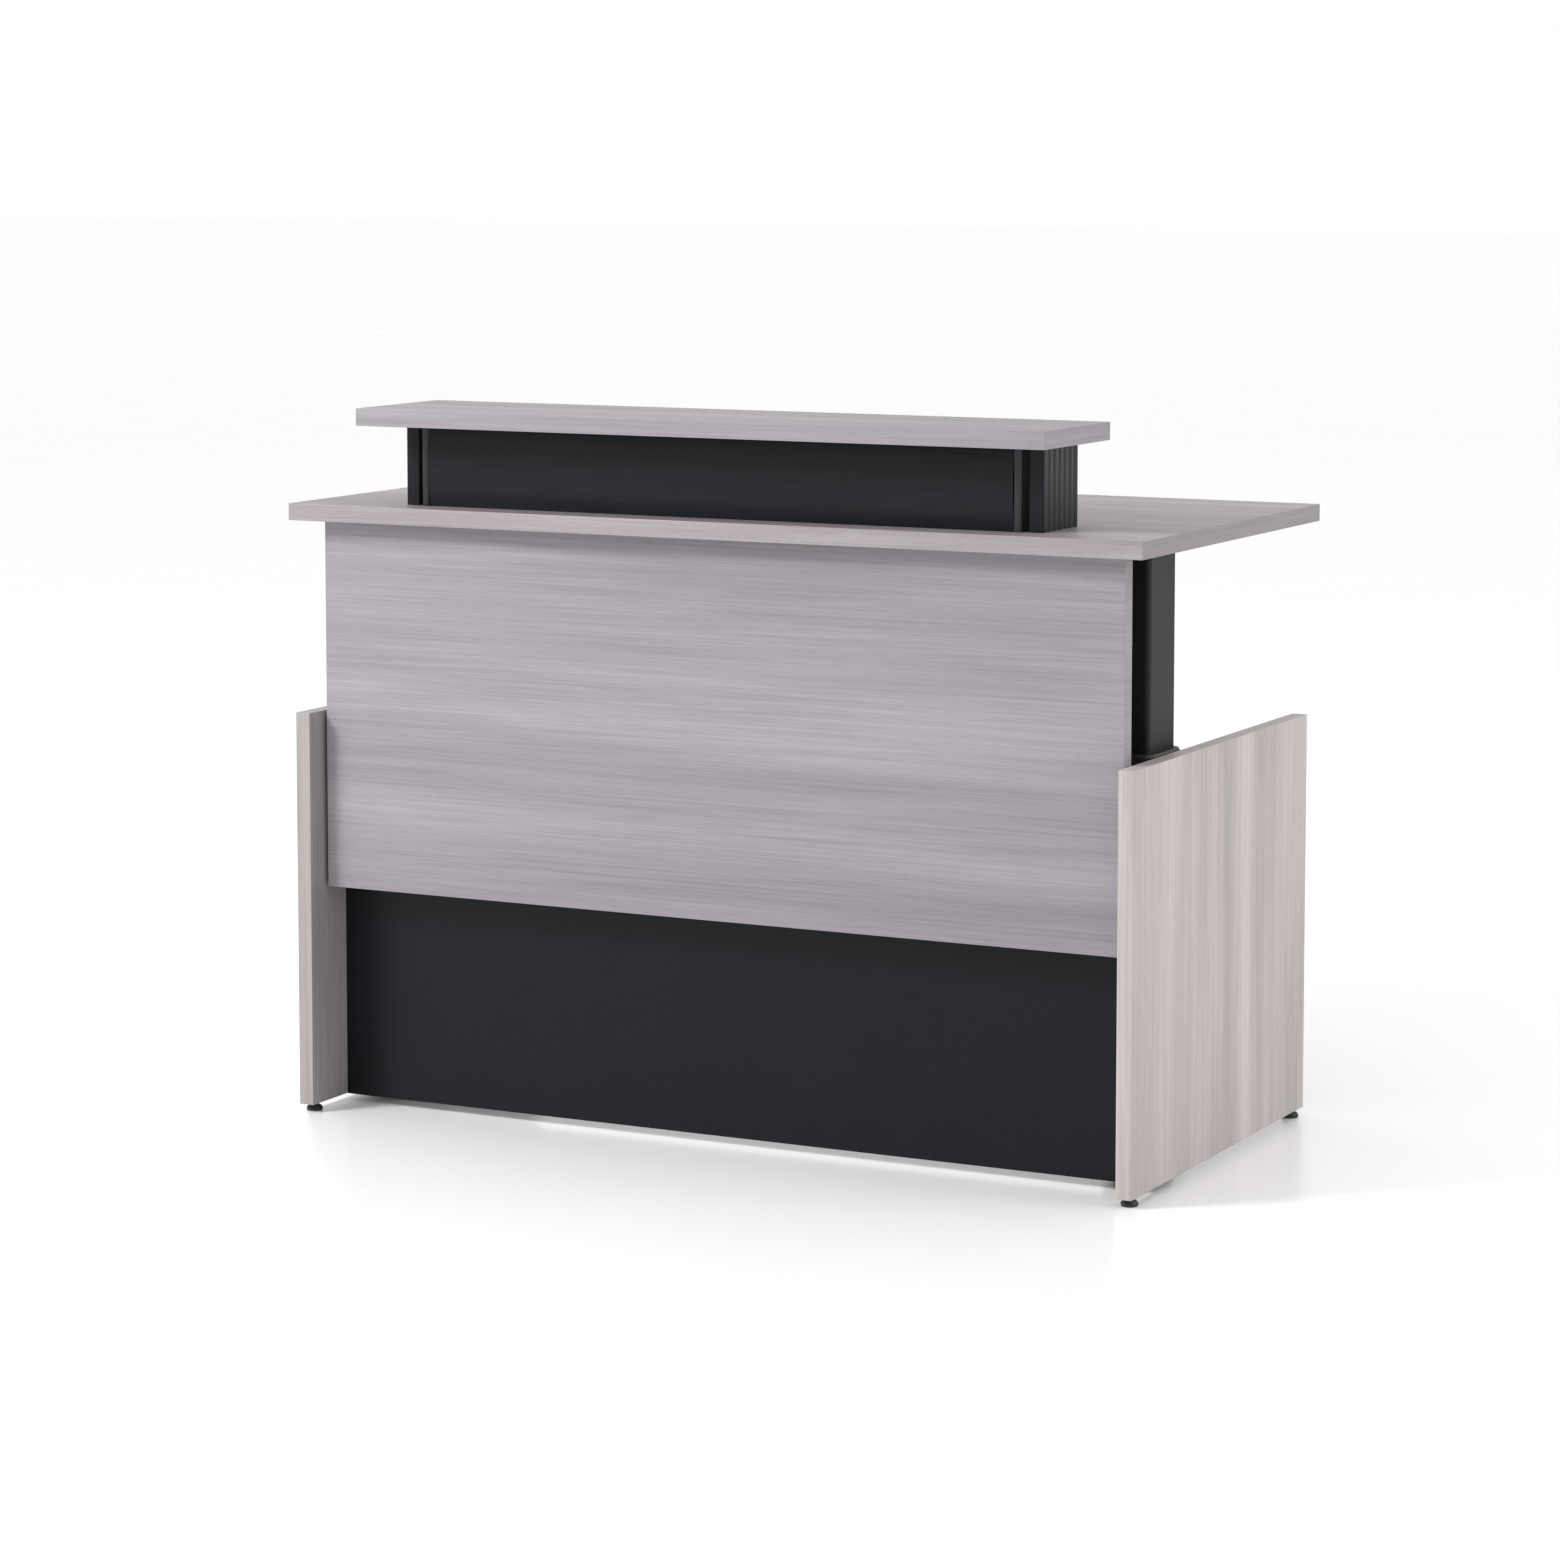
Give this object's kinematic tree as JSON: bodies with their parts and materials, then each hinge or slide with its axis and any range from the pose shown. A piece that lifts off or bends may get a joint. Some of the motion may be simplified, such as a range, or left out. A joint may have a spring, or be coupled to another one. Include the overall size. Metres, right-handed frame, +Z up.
{
  "type": "height-adjustable reception desk",
  "caption": "Sit-stand reception desk: fixed end panels and telescopic electric columns carry a worktop with a front modesty panel and a raised transaction shelf.",
  "frame": {"origin": "floor level under the centre of the bounding box", "axes": "+X to the visitor's right along the worktop, +Y from the visitor's side to the user's side, +Z up"},
  "size_m": [1.524, 0.7884, 1.1838],
  "materials": {
    "laminate": "grey wood-grain laminate, grain along X",
    "end_laminate": "grey wood-grain laminate, upright grain",
    "black_panel": "satin black board",
    "black_aluminium": "black anodised",
    "black_steel": "black powder coat",
    "bright_steel": "bare steel",
    "brass": "turned",
    "black_plastic": "moulded",
    "grey_plastic": "moulded"
  },
  "bodies": {
    "base": {"end_panel_left": "end_laminate", "end_panel_right": "end_laminate", "lower_panel": "black_panel", "leveller_insert_left_front": "bright_steel", "leveller_insert_left_rear": "bright_steel", "leveller_insert_right_front": "bright_steel", "leveller_insert_right_rear": "bright_steel", "column_outer_left": "black_steel", "column_collar_left": "black_plastic", "base_plate_left": "black_steel", "push_tube_left": "bright_steel", "drive_nut_left": "brass", "column_bracket_left_low": "black_steel", "column_bracket_left_high": "black_steel", "cleat_left_low": "black_steel", "cleat_left_high": "black_steel", "column_outer_right": "black_steel", "column_collar_right": "black_plastic", "base_plate_right": "black_steel", "push_tube_right": "bright_steel", "drive_nut_right": "brass", "column_bracket_right_low": "black_steel", "column_bracket_right_high": "black_steel", "cleat_right_low": "black_steel", "cleat_right_high": "black_steel"},
    "lift": {"worktop": "laminate", "modesty_panel": "laminate", "transaction_shelf": "laminate", "counter_post_left": "black_aluminium", "counter_post_right": "black_aluminium", "counter_fascia": "black_aluminium", "fascia_trim_left": "black_aluminium", "fascia_trim_right": "black_aluminium", "column_inner_left": "black_steel", "motor_left": "grey_plastic", "top_plate_left": "black_steel", "column_inner_right": "black_steel", "motor_right": "grey_plastic", "top_plate_right": "black_steel", "cross_rail_front": "black_steel", "cross_rail_rear": "black_steel", "control_box": "black_plastic", "handset_body": "black_plastic", "modesty_bracket_left": "black_steel", "modesty_bracket_middle": "black_steel", "modesty_bracket_right": "black_steel"},
    "spindle_left": {"spindle_left": "bright_steel"},
    "spindle_right": {"spindle_right": "bright_steel"},
    "leveller_left_front": {"leveller_left_front": "black_plastic"},
    "leveller_left_rear": {"leveller_left_rear": "black_plastic"},
    "leveller_right_front": {"leveller_right_front": "black_plastic"},
    "leveller_right_rear": {"leveller_right_rear": "black_plastic"},
    "button_up": {"button_up": "grey_plastic"},
    "button_down": {"button_down": "grey_plastic"}
  },
  "joints": [
    {"name": "lift", "type": "slide", "parent": "base", "child": "lift", "axis": [0, 0, 1], "range_m": [-0.305, 0.18]},
    {"name": "spindle_left_turn", "type": "hinge", "parent": "lift", "child": "spindle_left", "pos_m": [-0.6715, -0.1493, 0.6], "axis": [0, 0, 1], "continuous": true},
    {"name": "spindle_right_turn", "type": "hinge", "parent": "lift", "child": "spindle_right", "pos_m": [0.6715, -0.1493, 0.6], "axis": [0, 0, 1], "continuous": true},
    {"name": "leveller_left_front_turn", "type": "hinge", "parent": "base", "child": "leveller_left_front", "pos_m": [-0.738, -0.3428, 0], "axis": [0, 0, 1], "continuous": true},
    {"name": "leveller_left_rear_turn", "type": "hinge", "parent": "base", "child": "leveller_left_rear", "pos_m": [-0.738, 0.3492, 0], "axis": [0, 0, 1], "continuous": true},
    {"name": "leveller_right_front_turn", "type": "hinge", "parent": "base", "child": "leveller_right_front", "pos_m": [0.738, -0.3428, 0], "axis": [0, 0, 1], "continuous": true},
    {"name": "leveller_right_rear_turn", "type": "hinge", "parent": "base", "child": "leveller_right_rear", "pos_m": [0.738, 0.3492, 0], "axis": [0, 0, 1], "continuous": true},
    {"name": "button_up_press", "type": "slide", "parent": "lift", "child": "button_up", "axis": [0, -1, 0], "range_m": [0, 0.0009], "stiffness_N_per_m": 800, "springref_m": -0.0005},
    {"name": "button_down_press", "type": "slide", "parent": "lift", "child": "button_down", "axis": [0, -1, 0], "range_m": [0, 0.0009], "stiffness_N_per_m": 800, "springref_m": -0.0005}
  ],
  "couplings": [
    {"joint": "spindle_left_turn", "follows": "lift", "rad_per_m": 523.6},
    {"joint": "spindle_right_turn", "follows": "lift", "rad_per_m": 523.6}
  ]
}
